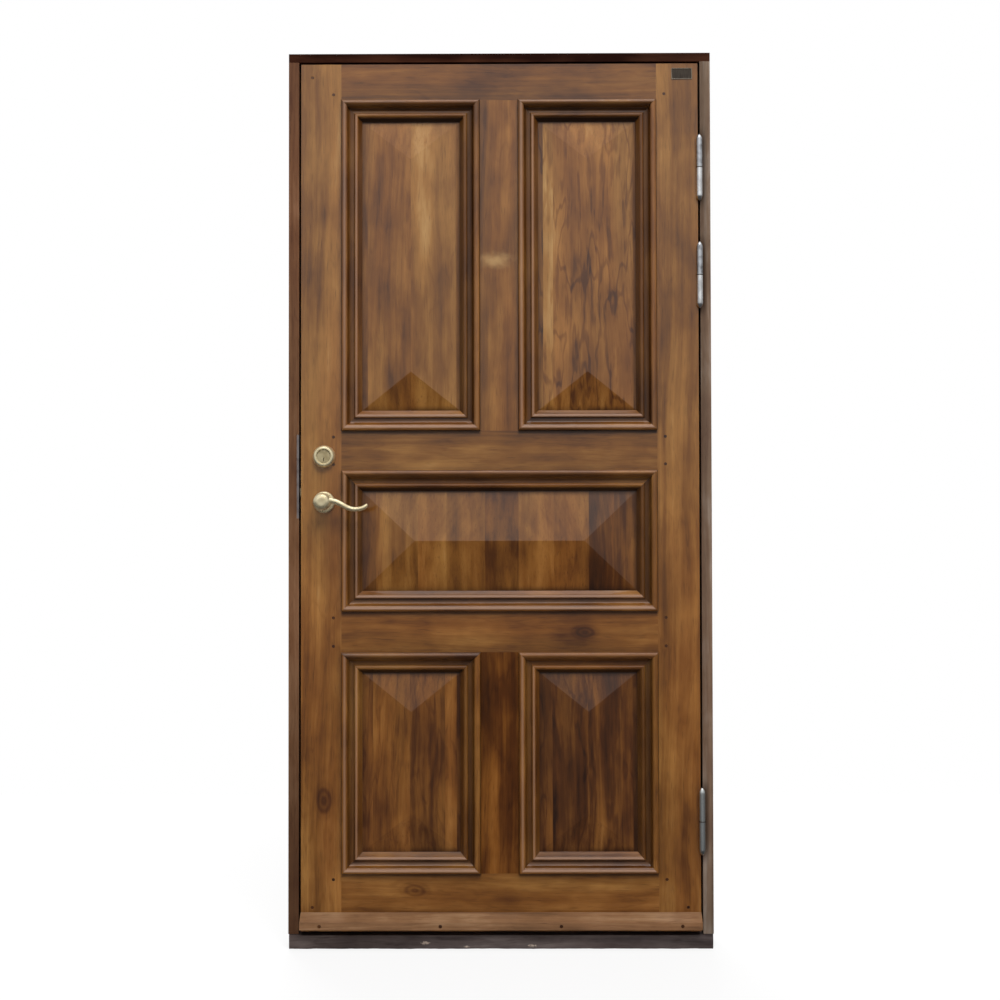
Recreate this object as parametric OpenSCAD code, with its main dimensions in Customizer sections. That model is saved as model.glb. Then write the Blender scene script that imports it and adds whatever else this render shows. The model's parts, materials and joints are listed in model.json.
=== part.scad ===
// Panelled front door of solid teak in its rebated frame, hung on three lift-off hinges.
// Millimetres, +Z up. The outside faces -Y, the lock is at -X and the hinges are at +X.
// The origin is the middle of the threshold's underside.

/* [Frame] */
// Outside width of the frame
frame_w = 985; // [885:1:1185]
// Outside height of the frame
frame_h = 2085; // [1985:1:2385]
// Depth of the frame through the wall
frame_d = 105; // [95:1:140]
// Thickness of the jambs beside the leaf
jamb_t = 24; // [22:0.5:40]
// Thickness of the head above the leaf
head_t = 20; // [16:0.5:40]
// How far the door stop stands into the opening
stop_h = 13; // [12:0.5:20]
// Height of the threshold under the jambs
threshold_h = 35; // [30:1:60]
// Fall of the threshold's top towards the outside
threshold_fall = 2; // [1:0.5:5]
// Diameter of the holes for the wall fixings
fixing_d = 10; // [8:0.5:14]
// Distance between the two wall fixings of a pair
fixing_pitch = 500; // [300:10:600]
// Distance of the outermost wall fixings from the frame's ends
fixing_end = 200; // [150:10:300]
// Shank diameter of the screws at the frame's corners
corner_screw_d = 5; // [4:0.5:6]
// Length of the screws at the frame's corners
corner_screw_l = 70; // [60:1:100]
// Distance of the corner screws from the frame's faces
corner_screw_in = 22; // [15:1:30]

/* [Seal] */
// Space between the leaf's inner face and the stop
seal_gap = 3.5; // [3:0.5:6]
// Width of the seal's base
seal_w = 9; // [8:0.5:10]
// Width of the seal's bulb
bulb_w = 4.5; // [4:0.5:7]

/* [Leaf] */
// Gap round the sides and top of the leaf
side_gap = 5; // [3.5:0.5:6]
// Gap between the threshold and the leaf
sill_gap = 6; // [4:0.5:10]
// Thickness of the leaf
leaf_t = 56; // [52:1:60]
// Width of the lock stile
lock_stile_w = 94; // [90:1:130]
// Width of the hinge stile
hinge_stile_w = 97; // [90:1:130]
// Width of the muntins between the tall panels
muntin_w = 88; // [60:1:120]
// Height of the top rail
top_rail_h = 85; // [80:1:140]
// Height of the lock rail
lock_rail_h = 92; // [80:1:140]
// Height of the rail under the middle panel
middle_rail_h = 94; // [80:1:140]
// Height of the bottom rail
bottom_rail_h = 133; // [120:1:200]
// Height of the opening for the lower panels
lower_panel_h = 512; // [450:1:560]
// Height of the opening for the middle panel
middle_panel_h = 329; // [300:1:360]

/* [Joinery] */
// Thickness of tongues and tenons
tongue_t = 20; // [16:0.5:24]
// Depth of the grooves that hold the panels
groove_d = 8; // [6:0.5:12]
// Length of the tenons on the top and bottom rails
long_tenon_l = 76; // [74:1:84]
// Shoulder of the tenons at the leaf's ends
tenon_shoulder = 20; // [12:1:26]
// Clearance round tongues, tenons and pegs
wood_fit = 0.1; // [0.05:0.05:0.3]
// Room for the panels to swell in their grooves
swell_gap = 0.8; // [0.5:0.1:2]
// Diameter of the pegs through the tenons
peg_d = 7; // [5:0.5:9]
// Distance of the inner pegs from the tenon's shoulder
peg_inset = 18.5; // [14:0.5:20]
// Distance of the inner pegs from the rail's grooved edge
peg_edge = 14; // [13:0.5:18]
// Distance of the outer pegs from the tenon's shoulder
outer_peg_inset = 67.5; // [50:0.5:68]
// Distance of the top outer pegs from the leaf's top
top_peg_drop = 31; // [27:1:40]
// Height of the bottom outer pegs over the leaf's bottom
bottom_peg_rise = 55; // [35:1:90]

/* [Panels] */
// Thickness of the panels at their flat margin
panel_t = 32; // [28:1:36]
// Rise of the hipped field over the margin, on each face
panel_rise = 12; // [4:0.5:14]
// Width of the flat along a panel's ridge
ridge_w = 1; // [0.5:0.5:10]
// Run of the end slopes on the tall panels
tall_end_run = 90; // [60:1:160]
// Run of the end slopes on the middle panel
wide_end_run = 122; // [60:1:200]

/* [Mouldings] */
// Width of the mouldings
mould_w = 48; // [44:1:60]
// Radius of the outer bead
outer_bead_r = 8; // [5:0.5:9]
// Height of the outer bead's crest over the leaf's face
mould_proud = 14; // [10:0.5:18]
// Radius of the cove between the beads
cove_r = 10; // [8:0.5:12]
// Distance from the outer edge to the middle of the inner bead
inner_bead_at = 35; // [33:0.5:38]
// Radius of the inner bead
inner_bead_r = 5.5; // [3:0.5:6]
// Height of the inner bead's crest over the leaf's face
inner_bead_proud = 3; // [0:0.5:6]
// Thickness of the inner edge over the panel
mould_edge = 1.2; // [0.5:0.1:4]
// Hairline gap at each mitre
mitre_gap = 0.1; // [0.05:0.05:0.5]

/* [Weather bar] */
// How far the bar stands out
bar_proud = 30; // [20:1:35]
// Height of the bar at the leaf's face
bar_h = 34; // [28:1:50]
// Height of the bar's upright front
bar_nose = 17; // [12:1:20]
// Height of the bar over the leaf's bottom
bar_lift = 10; // [3:1:20]
// Thickness of the bar's top edge
bar_lip = 4; // [2:0.5:8]
// Radius of the drip groove under the bar
drip_r = 3; // [2:0.5:4]
// Diameter of the plugs that pin the bar
plug_pin_d = 8; // [6:0.5:10]
// Distance of the outer plugs from the leaf's edges
plug_end = 46; // [30:1:60]
// Depth of the plugs in the bottom rail
plug_depth = 25; // [15:1:40]

/* [Hinges] */
// Length of a hinge over its tips
hinge_l = 155; // [140:1:170]
// Diameter of the barrels
barrel_d = 14; // [13:0.5:18]
// Length of the pointed tips
tip_l = 13; // [8:0.5:18]
// Gap between the barrels and the leaf's face
barrel_gap = 1.5; // [1:0.5:4]
// Diameter of the pins
pin_d = 8; // [6:0.5:9]
// Length of the pins
pin_l = 70; // [50:1:90]
// Radial clearance of the pins
pin_fit = 0.05; // [0.02:0.01:0.1]
// Thickness of the washers between the halves
washer_t = 2; // [1:0.5:4]
// How far the washers stand out of the barrel
washer_lip = 0.6; // [0:0.1:1.5]
// Thickness of the flaps
flap_t = 2.5; // [2:0.1:3]
// Depth of the flaps along the leaf's edge
flap_w = 36; // [30:1:45]
// Height of the flaps
flap_h = 54; // [40:1:60]
// Distance of the flaps from the washers
flap_rise = 3; // [2:0.5:6]
// Shank diameter of the hinge screws
hinge_screw_d = 4.5; // [3.5:0.5:5]
// Length of the hinge screws
hinge_screw_l = 19; // [14:1:20]
// Drop of the top hinge from the leaf's top
top_hinge_drop = 246; // [150:0.5:300]
// Drop of the upper hinge from the leaf's top
upper_hinge_drop = 497.5; // [470:0.5:700]
// Rise of the bottom hinge over the leaf's bottom
bottom_hinge_rise = 254; // [220:0.5:350]

/* [Lock] */
// Distance from the leaf's edge to the spindle
backset = 54; // [48:0.5:55]
// Drop of the spindle from the top of the middle panel's opening
lever_drop = 74; // [60:1:110]
// Height of the cylinder ring over the spindle
cylinder_rise = 106; // [102:0.5:115]
// Thickness of the lock case
case_t = 16; // [15:0.5:18]
// Depth of the lock case behind the spindle
case_back = 13; // [12.5:0.5:14]
// Height of the lock case over the cylinder
case_above = 45; // [25:1:60]
// Depth of the lock case under the spindle
case_below = 55; // [25:1:70]
// Clearance between the lock case and the wood, and round the bolts
lock_fit = 0.3; // [0.2:0.05:0.5]
// Width of the forend
forend_w = 22; // [20:0.5:26]
// Thickness of the forend
forend_t = 3; // [2.5:0.5:4]
// How far the forend runs past the case
forend_over = 15; // [12:0.5:20]
// Height of the latch bolt over the spindle
latch_rise = 24; // [22:0.5:28]
// Height of the latch bolt
latch_h = 18; // [14:0.5:20]
// Thickness of the bolts
bolt_t = 12; // [10:0.5:12.5]
// How far the latch bolt stands out
latch_out = 12; // [10:0.5:14]
// Length of the latch bolt
latch_l = 42; // [36:1:44]
// Height of the dead bolt over the spindle
deadbolt_rise = 66; // [62:0.5:68]
// Height of the dead bolt
deadbolt_h = 24; // [18:0.5:26]
// Throw of the dead bolt
deadbolt_throw = 18; // [14:0.5:19]
// Length of the dead bolt
deadbolt_l = 40; // [34:1:44]
// Thickness of the strike plate
strike_t = 3; // [2:0.5:4]
// Width of the strike plate along the rebate
strike_w = 44; // [40:1:48]
// Height of the strike plate
strike_h = 195; // [185:1:220]
// Height of the strike plate's middle over the middle of the bolts
strike_rise = 15; // [5:1:25]
// Distance of the strike plate's screws from its ends
strike_screw_in = 12; // [8:1:16]
// Width of the strike plate's lip on the jamb's face
strike_lip = 5; // [4:0.5:8]
// Room round the bolts in the strike plate
strike_room = 1.5; // [1:0.5:3]
// Shank diameter of the lock's screws
lock_screw_d = 4; // [3:0.5:4.5]
// Length of the lock's screws
lock_screw_l = 18; // [14:1:19]

/* [Door furniture] */
// Diameter of the roses
rose_d = 50; // [42:0.5:54]
// Thickness of the roses
rose_t = 9; // [6:0.5:10]
// Radius of the roses' rounded rim
rose_rim = 4; // [2:0.5:5]
// Clearance of what turns in the roses
turn_fit = 0.3; // [0.2:0.05:0.5]
// Width of the square spindle
spindle_w = 8; // [7:0.5:9]
// Diameter of the follower that the spindle turns
follower_d = 20; // [18:0.5:22]
// Diameter of the lever's neck
neck_d = 17; // [15:0.5:20]
// Diameter of the lever's boss
boss_d = 38; // [32:0.5:42]
// Thickness of the lever's boss
boss_t = 22; // [16:0.5:24]
// How far the lever stands out of the leaf
lever_out = 58; // [52:1:70]
// Reach of the lever from the spindle
lever_reach = 104; // [90:1:125]
// Depth of the lever's wave
lever_wave = 17; // [8:0.5:22]
// Height of the lever's section at the boss
lever_root_h = 12; // [8:0.5:14]
// Height of the lever's section along the arm
lever_tip_h = 8.5; // [6:0.5:10]
// Depth of the lever's section
lever_arm_d = 10; // [8:0.5:12]
// Diameter of the cylinder ring at the leaf's face
ring_base_d = 53; // [48:0.5:60]
// Diameter of the cylinder ring at its front
ring_front_d = 39; // [37:0.5:46]
// Height of the cylinder ring
ring_h = 17; // [12:0.5:24]
// Depth of the dish in the ring's front
ring_dish = 4; // [2:0.5:6]
// Diameter of the lock cylinder
cylinder_d = 30; // [28:0.5:32]
// Diameter of the key plug
plug_d = 13; // [11:0.5:14]
// Distance from the cylinder's middle down to the key plug
plug_drop = 7; // [6:0.5:7.5]
// Width of the keyway
keyway_w = 2; // [1.5:0.1:2.5]
// Diameter of the tail between the key plug and the thumb turn
tail_d = 6; // [5:0.5:7]
// Diameter of the thumb turn's stem
stem_d = 12; // [10:0.5:14]
// Length of the thumb turn's grip
grip_l = 34; // [28:1:42]
// Thickness of the thumb turn's grip
grip_t = 9; // [7:0.5:10]
// How far the thumb turn stands out
grip_out = 32; // [26:1:36]

/* [Hidden] */
$fn = 64;
y_face = -frame_d / 2;
y_inner = frame_d / 2;
y_back = y_face + leaf_t;
y_mid = y_face + leaf_t / 2;
stop_y = y_back + seal_gap;
rebate_x = frame_w / 2 - jamb_t;
rebate_z = frame_h - head_t;
stop_x = rebate_x - stop_h;
leaf_x = rebate_x - side_gap;
leaf_z0 = threshold_h + sill_gap;
leaf_z1 = rebate_z - side_gap;
threshold_stop_z = leaf_z0 + stop_h;
open_x0 = -leaf_x + lock_stile_w;
open_x1 = leaf_x - hinge_stile_w;
lower_z0 = leaf_z0 + bottom_rail_h;
lower_z1 = lower_z0 + lower_panel_h;
middle_z0 = lower_z1 + middle_rail_h;
middle_z1 = middle_z0 + middle_panel_h;
upper_z0 = middle_z1 + lock_rail_h;
upper_z1 = leaf_z1 - top_rail_h;
tall_w = (open_x1 - open_x0 - muntin_w) / 2;
// Space between a part's moving end and the bottom of its hole
end_room = 1.5;
// How far a cutter runs past the face that it cuts
over = 1;

// Each opening: its name, its lower left corner, its width, its height and whether its ridge is level
OPENINGS = [
    ["upper_left", open_x0, upper_z0, tall_w, upper_z1 - upper_z0, false],
    ["upper_right", open_x1 - tall_w, upper_z0, tall_w, upper_z1 - upper_z0, false],
    ["middle", open_x0, middle_z0, open_x1 - open_x0, middle_panel_h, true],
    ["lower_left", open_x0, lower_z0, tall_w, lower_panel_h, false],
    ["lower_right", open_x1 - tall_w, lower_z0, tall_w, lower_panel_h, false],
];

hinge_x = rebate_x - side_gap / 2;
hinge_reach = barrel_gap + barrel_d / 2;
hinge_y = y_face - hinge_reach;
barrel_l = hinge_l / 2 - washer_t / 2 - tip_l;
flap_z = washer_t / 2 + flap_rise;
// Each hinge: its name and the height at which its halves meet
HINGES = [
    ["bottom", leaf_z0 + bottom_hinge_rise],
    ["upper", leaf_z1 - upper_hinge_drop],
    ["top", leaf_z1 - top_hinge_drop],
];

lock_x = -leaf_x + backset;
lever_z = middle_z1 - lever_drop;
cylinder_z = lever_z + cylinder_rise;
plug_z = cylinder_z - plug_drop;
case_x1 = lock_x + case_back;
case_z0 = lever_z - case_below;
case_z1 = cylinder_z + case_above;
forend_z0 = case_z0 - forend_over;
forend_z1 = case_z1 + forend_over;
latch_z = lever_z + latch_rise;
deadbolt_z = lever_z + deadbolt_rise;
latch_x = -leaf_x - latch_out;
// The drawn-back dead bolt ends this far inside the forend
bolt_sink = 0.5;
deadbolt_x = -leaf_x + bolt_sink;
strike_z = (latch_z + deadbolt_z) / 2 + strike_rise;
// Wood left between the short tenons and the lock case
tenon_room = 2;
tenon_l = lock_stile_w - backset - case_back - tenon_room;
// How much wider the stile's holes are than what turns in them
bore_room = 2;
bar_z0 = leaf_z0 + bar_lift;
plug_pitch = (2 * leaf_x - 2 * plug_end) / 3;
seal_t = seal_gap - lock_fit;

HINGE_NODES = [for (side = ["frame", "leaf"], h = HINGES) str("hinge_", side, "_half_", h[0])];
MOULD_NODES = [for (face = ["outer", "inner"], o = OPENINGS) str(face, "_moulding_", o[0])];
PANEL_NODES = [for (o = OPENINGS) str("panel_", o[0])];

teak = "#8a5a2e";
teak_dark = "#5a3820";
weathered = "#5b4a40";
brass = "#c9a24a";
steel = "#b9bbbd";
rubber = "#202020";

// A box between two corners
module block(a, b) {
    translate(a) cube(b - a);
}

// An outline in the Y-Z plane, carried along X and centred
module along_x(length) {
    rotate([90, 0, 90]) linear_extrude(length, center = true) children();
}

// A revolved outline whose axis points out of the leaf's outside face, from that face
module out_of_face(x, z) {
    translate([x, y_face, z]) rotate([90, 0, 0]) children();
}

// The same, out of the inside face
module out_of_back(x, z) {
    translate([x, y_back, z]) rotate([-90, 0, 0]) children();
}

// A countersunk screw, head flush at the origin, pointing down; grown for its hole
module screw(length, d, grow = 0) {
    r = d / 2 + grow;
    rotate_extrude()
        polygon([[0, 0], [d + grow, 0], [r, -d / 2], [r, d - length], [0, -length - grow]]);
}

// Frame

module corner_screws(grow = 0) {
    for (x = [-1, 1], y = [y_face + corner_screw_in, y_inner - corner_screw_in]) {
        translate([x * (rebate_x + jamb_t / 2), y, frame_h])
            screw(corner_screw_l, corner_screw_d, grow);
        translate([x * (rebate_x + jamb_t / 2), y, 0])
            mirror([0, 0, 1]) screw(corner_screw_l, corner_screw_d, grow);
    }
}

module frame_screws() {
    color(steel) corner_screws();
}

module fixing_holes() {
    for (z = [fixing_end, fixing_end + fixing_pitch,
              frame_h - fixing_end - fixing_pitch, frame_h - fixing_end])
        translate([stop_x - over, (stop_y + y_inner) / 2, z])
            rotate([0, 90, 0]) cylinder(d = fixing_d, h = jamb_t + stop_h + 2 * over);
}

// A jamb of the hinge side, with its stop behind the leaf
module jamb() {
    difference() {
        translate([0, 0, threshold_h])
            linear_extrude(rebate_z - threshold_h)
                polygon([
                    [rebate_x, y_face], [frame_w / 2, y_face], [frame_w / 2, y_inner],
                    [stop_x, y_inner], [stop_x, stop_y], [rebate_x, stop_y]
                ]);
        fixing_holes();
        corner_screws(wood_fit);
    }
}

module hinge_jamb() {
    color(teak_dark) difference() {
        jamb();
        for (h = HINGES) {
            frame_flap(h[1], wood_fit, over);
            frame_flap_screws(h[1], wood_fit);
        }
    }
}

module lock_jamb() {
    color(teak_dark) difference() {
        mirror([1, 0, 0]) jamb();
        strike_blank(wood_fit, over);
        bolt_pocket(latch_z, latch_h, latch_out);
        bolt_pocket(deadbolt_z, deadbolt_h, deadbolt_throw);
        strike_fasteners(wood_fit);
    }
}

module head() {
    color(teak_dark) difference() {
        union() {
            block([-frame_w / 2, y_face, rebate_z], [frame_w / 2, y_inner, frame_h]);
            block([-stop_x, stop_y, rebate_z - stop_h], [stop_x, y_inner, rebate_z]);
        }
        corner_screws(wood_fit);
    }
}

module threshold() {
    color(weathered) difference() {
        union() {
            block([-frame_w / 2, y_face, 0], [frame_w / 2, y_inner, threshold_h]);
            block([-stop_x, stop_y, threshold_h], [stop_x, y_inner, threshold_stop_z]);
        }
        along_x(2 * rebate_x)
            polygon([
                [y_face - over, threshold_h - threshold_fall], [stop_y, threshold_h],
                [stop_y, threshold_h + over], [y_face - over, threshold_h + over]
            ]);
        corner_screws(wood_fit);
    }
}

// One flat ring of the seal, set in from the stop's inner edges
module seal_ring(inset, width, y0) {
    x = stop_x + inset;
    z0 = threshold_stop_z - inset;
    z1 = rebate_z - stop_h + inset;
    difference() {
        block([-x - width, y0, z0 - width], [x + width, stop_y, z1 + width]);
        block([-x, y0 - over, z0], [x, stop_y + over, z1]);
    }
}

module door_seal() {
    edge = (stop_h - seal_w) / 2;
    color(rubber) union() {
        seal_ring(edge, seal_w, stop_y - seal_t / 2);
        seal_ring(edge + (seal_w - bulb_w) / 2, bulb_w, stop_y - seal_t);
    }
}

// Strike plate

// The plate with its lip folded on to the jamb's face; a cutter is grown, and past both faces
module strike_blank(grow = 0, past = 0) {
    x1 = -rebate_x + past;
    y0 = y_face - past;
    z0 = strike_z - strike_h / 2 - grow;
    z1 = strike_z + strike_h / 2 + grow;
    block([-rebate_x - strike_t - grow, y0, z0], [x1, y_face + strike_w + grow, z1]);
    block([-rebate_x - strike_lip - grow, y0, z0], [x1, y_face + strike_t + grow, z1]);
}

// The slot and the pocket that a bolt goes into
module bolt_pocket(z, h, out) {
    block(
        [-leaf_x - out - end_room, y_mid - bolt_t / 2 - strike_room, z - h / 2 - strike_room],
        [-rebate_x + over, y_mid + bolt_t / 2 + strike_room, z + h / 2 + strike_room]);
}

module strike_fasteners(grow = 0) {
    for (z = [-1, 1])
        translate([-rebate_x, y_mid, strike_z + z * (strike_h / 2 - strike_screw_in)])
            rotate([0, 90, 0]) screw(lock_screw_l, lock_screw_d, grow);
}

module strike_plate() {
    color(steel) difference() {
        strike_blank();
        bolt_pocket(latch_z, latch_h, latch_out);
        bolt_pocket(deadbolt_z, deadbolt_h, deadbolt_throw);
        strike_fasteners(wood_fit);
    }
}

module strike_screws() {
    color(steel) strike_fasteners();
}

// Hinges

// A leaf half about its own axis, from the joint upwards: a bored barrel and a flap
module hinge_half() {
    difference() {
        union() {
            rotate_extrude() difference() {
                union() {
                    translate([0, washer_t / 2]) square([barrel_d / 2, barrel_l]);
                    translate([0, washer_t / 2 + barrel_l]) tip_section();
                }
                square([pin_d / 2 + pin_fit, pin_l / 2 + end_room]);
            }
            flap();
        }
        flap_fasteners(wood_fit);
    }
}

// Half section of a tip: an arc that narrows from the barrel to a small flat
module tip_section() {
    r = barrel_d / 2;
    rise = tip_l + 1;
    arc = (rise * rise + r * r) / (2 * r);
    intersection() {
        translate([r - arc, 0]) circle(arc, $fn = 96);
        square([r, tip_l]);
    }
}

// The flap starts inside the barrel's wall
module flap(grow = 0, past = 0) {
    x = side_gap / 2;
    root = 2;
    block([-x - flap_t - grow, barrel_d / 2 - root, flap_z - grow],
          [-x + past, hinge_reach + flap_w + grow, flap_z + flap_h + grow]);
}

module flap_fasteners(grow = 0) {
    for (i = [-1 : 1])
        translate([-side_gap / 2, hinge_reach + flap_w * (i == 0 ? 2 : 1) / 3,
                   flap_z + flap_h / 2 + i * flap_h / 3])
            rotate([0, 90, 0]) screw(hinge_screw_l, hinge_screw_d, grow);
}

// Moves a half to the hinge whose joint is at z, on the leaf or turned over on the frame
module on_leaf(z) {
    translate([hinge_x, hinge_y, z]) children();
}

module on_frame(z) {
    translate([hinge_x, hinge_y, z]) rotate([0, 180, 0]) children();
}

module frame_flap(z, grow, past) {
    on_frame(z) flap(grow, past);
}

module frame_flap_screws(z, grow = 0) {
    on_frame(z) flap_fasteners(grow);
}

module hinge_frame_half(z) {
    color(steel) on_frame(z) hinge_half();
}

module hinge_leaf_half(z) {
    color(steel) on_leaf(z) hinge_half();
}

module hinge_pins() {
    color(steel) for (h = HINGES)
        translate([hinge_x, hinge_y, h[1]]) cylinder(d = pin_d, h = pin_l, center = true);
}

module hinge_washers() {
    color(brass) for (h = HINGES)
        translate([hinge_x, hinge_y, h[1]]) difference() {
            cylinder(d = barrel_d + 2 * washer_lip, h = washer_t, center = true);
            cylinder(d = pin_d + 2 * pin_fit, h = washer_t + 2 * over, center = true);
        }
}

module hinge_frame_screws() {
    color(steel) for (h = HINGES) frame_flap_screws(h[1]);
}

module hinge_leaf_screws() {
    color(steel) for (h = HINGES) on_leaf(h[1]) flap_fasteners();
}

// Stiles, rails and muntins

// The pegs of both stiles, or their holes
module pegs(grow = 0) {
    spots = [
        [peg_inset, lower_z0 - peg_edge], [outer_peg_inset, leaf_z0 + bottom_peg_rise],
        [peg_inset, lower_z1 + peg_edge], [peg_inset, middle_z0 - peg_edge],
        [peg_inset, middle_z1 + peg_edge], [peg_inset, upper_z0 - peg_edge],
        [peg_inset, upper_z1 + peg_edge], [outer_peg_inset, leaf_z1 - top_peg_drop],
    ];
    for (side = [[open_x0, -1], [open_x1, 1]], s = spots)
        translate([side[0] + side[1] * s[0], y_face, s[1]])
            rotate([-90, 0, 0]) cylinder(d = peg_d + 2 * grow, h = leaf_t);
}

module tenon_pegs() {
    color(teak_dark) pegs();
}

// A tongue-wide slab between two corners in X and Z, grown for its groove or mortise
module slab(x0, x1, z0, z1, grow = 0) {
    block([x0, y_mid - tongue_t / 2 - grow, z0], [x1, y_mid + tongue_t / 2 + grow, z1]);
}

// A mortise that starts at this face, for a tenon of this length between these heights
module mortise(x, length, z0, z1) {
    slab(x - over, x + length + swell_gap, z0 - wood_fit, z1 + wood_fit, wood_fit);
}

// A stile of this width at the hinge side, grooved and mortised
module stile(width) {
    x = leaf_x - width;
    difference() {
        block([x, y_face, leaf_z0], [leaf_x, y_back, leaf_z1]);
        slab(x - over, x + groove_d, leaf_z0 - over, leaf_z1 + over, wood_fit);
        mortise(x, long_tenon_l, leaf_z0 + tenon_shoulder, lower_z0 - groove_d);
        mortise(x, tenon_l, lower_z1 + groove_d, middle_z0 - groove_d);
        mortise(x, tenon_l, middle_z1 + groove_d, upper_z0 - groove_d);
        mortise(x, long_tenon_l, upper_z1 + groove_d, leaf_z1 - tenon_shoulder);
    }
}

module hinge_stile() {
    color(teak) difference() {
        stile(hinge_stile_w);
        pegs(wood_fit);
        bar_pins(wood_fit);
        for (h = HINGES) on_leaf(h[1]) {
            flap(wood_fit, over);
            flap_fasteners(wood_fit);
        }
    }
}

module lock_stile() {
    color(teak) difference() {
        mirror([1, 0, 0]) stile(lock_stile_w);
        pegs(wood_fit);
        bar_pins(wood_fit);
        forend_blank(wood_fit, over);
        forend_fasteners(wood_fit);
        block([-leaf_x - over, y_mid - case_t / 2 - lock_fit, case_z0 - lock_fit],
              [case_x1 + lock_fit, y_mid + case_t / 2 + lock_fit, case_z1 + lock_fit]);
        out_of_face(lock_x, lever_z) translate([0, 0, -leaf_t - over])
            cylinder(d = follower_d + bore_room, h = leaf_t + 2 * over);
        out_of_face(lock_x, cylinder_z) translate([0, 0, -leaf_t / 2])
            cylinder(d = cylinder_d + 2 * lock_fit, h = leaf_t);
        out_of_back(lock_x, plug_z) translate([0, 0, -leaf_t / 2])
            cylinder(d = stem_d + bore_room, h = leaf_t);
    }
}

// A rail between two heights, with its tenons; the ends say how much each tenon edge is cut back
module rail(z0, z1, length, cut0, cut1) {
    haunch0 = cut0 == groove_d ? groove_d : 0;
    haunch1 = cut1 == groove_d ? groove_d : 0;
    difference() {
        union() {
            block([open_x0, y_face, z0], [open_x1, y_back, z1]);
            slab(open_x0 - groove_d, open_x1 + groove_d, z0 + haunch0, z1 - haunch1);
            slab(open_x0 - length, open_x1 + length, z0 + cut0, z1 - cut1);
        }
        if (haunch0 > 0) slab(open_x0 - over, open_x1 + over, z0 - over, z0 + groove_d, wood_fit);
        if (haunch1 > 0) slab(open_x0 - over, open_x1 + over, z1 - groove_d, z1 + over, wood_fit);
        pegs(wood_fit);
    }
}

module top_rail() {
    color(teak) rail(upper_z1, leaf_z1, long_tenon_l, groove_d, tenon_shoulder);
}

module lock_rail() {
    color(teak) rail(middle_z1, upper_z0, tenon_l, groove_d, groove_d);
}

module middle_rail() {
    color(teak) rail(lower_z1, middle_z0, tenon_l, groove_d, groove_d);
}

module bottom_rail() {
    color(teak) difference() {
        rail(leaf_z0, lower_z0, long_tenon_l, tenon_shoulder, groove_d);
        bar_pins(wood_fit);
    }
}

// A muntin between two rails, its stub tenons in their grooves
module muntin(z0, z1) {
    half = muntin_w / 2;
    stub = groove_d - swell_gap;
    color(teak) translate([(open_x0 + open_x1) / 2, 0, 0]) difference() {
        union() {
            block([-half, y_face, z0], [half, y_back, z1]);
            slab(-half, half, z0 - stub, z1 + stub);
        }
        for (side = [-1, 1])
            slab(side * half - groove_d, side * half + groove_d, z0 - groove_d, z1 + groove_d, wood_fit);
    }
}

module upper_muntin() {
    muntin(upper_z0, upper_z1);
}

module lower_muntin() {
    muntin(lower_z0, lower_z1);
}

// Panels

// Section of a panel across an opening: tongue, flat margin, slope of this run, flat, and back
function panel_section(opening, run) =
    let (
        half = opening / 2,
        field = half - mould_w,
        rise = [
            [half + groove_d - swell_gap, tongue_t / 2], [half - swell_gap, tongue_t / 2],
            [half - swell_gap, panel_t / 2], [field, panel_t / 2],
            [field - run, panel_t / 2 + panel_rise]
        ],
        top = concat(rise, [for (i = [4 : -1 : 0]) [-rise[i].x, rise[i].y]])
    )
    concat(top, [for (i = [9 : -1 : 0]) [top[i].x, -top[i].y]]);

// A panel is what two sections have in common, so its slopes meet in hips
module panel(o) {
    w = o[3];
    h = o[4];
    side_run = (o[5] ? h : w) / 2 - mould_w - ridge_w / 2;
    end_run = o[5] ? wide_end_run : tall_end_run;
    spare = 2 * groove_d;
    color(teak) translate([o[1] + w / 2, y_mid, o[2] + h / 2]) intersection() {
        linear_extrude(h + spare, center = true)
            polygon(panel_section(w, o[5] ? end_run : side_run));
        rotate([0, -90, 0]) linear_extrude(w + spare, center = true)
            polygon(panel_section(h, o[5] ? side_run : end_run));
    }
}

// Mouldings

// Section of a moulding: X runs inwards from the opening's edge, Y outwards from the leaf's face
module mould_section() {
    seat = (panel_t - leaf_t) / 2;
    bead_y = mould_proud - outer_bead_r;
    inner_y = inner_bead_proud - inner_bead_r;
    foot = inner_bead_at + inner_bead_r;
    translate([outer_bead_r, bead_y]) circle(outer_bead_r);
    translate([0, seat]) square([2 * outer_bead_r, bead_y - seat]);
    difference() {
        translate([0, seat]) square([inner_bead_at, bead_y - seat]);
        translate([2 * outer_bead_r + cove_r, bead_y + 1]) circle(cove_r);
        translate([2 * outer_bead_r + cove_r, bead_y + 1 - cove_r]) square([mould_w, 2 * cove_r]);
    }
    translate([inner_bead_at, inner_y]) circle(inner_bead_r);
    polygon([
        [inner_bead_at, seat], [mould_w, seat], [mould_w, seat + mould_edge],
        [foot, inner_y], [inner_bead_at, inner_y]
    ]);
}

// A strip along X, mitred at both ends
module mould_strip(length) {
    intersection() {
        rotate([90, 0, 90]) linear_extrude(length) mould_section();
        translate([0, 0, -leaf_t])
            linear_extrude(2 * leaf_t)
                polygon([
                    [mitre_gap, 0], [length - mitre_gap, 0],
                    [length - mould_w - mitre_gap, mould_w], [mould_w + mitre_gap, mould_w]
                ]);
    }
}

// The four strips round an opening, which lies in the X-Y plane
module mould_frame(w, h) {
    mould_strip(w);
    translate([w, 0, 0]) rotate(90) mould_strip(h);
    translate([w, h, 0]) rotate(180) mould_strip(w);
    translate([0, h, 0]) rotate(270) mould_strip(h);
}

module outer_moulding(o) {
    color(teak) translate([o[1], y_face, o[2]]) rotate([90, 0, 0]) mould_frame(o[3], o[4]);
}

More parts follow.
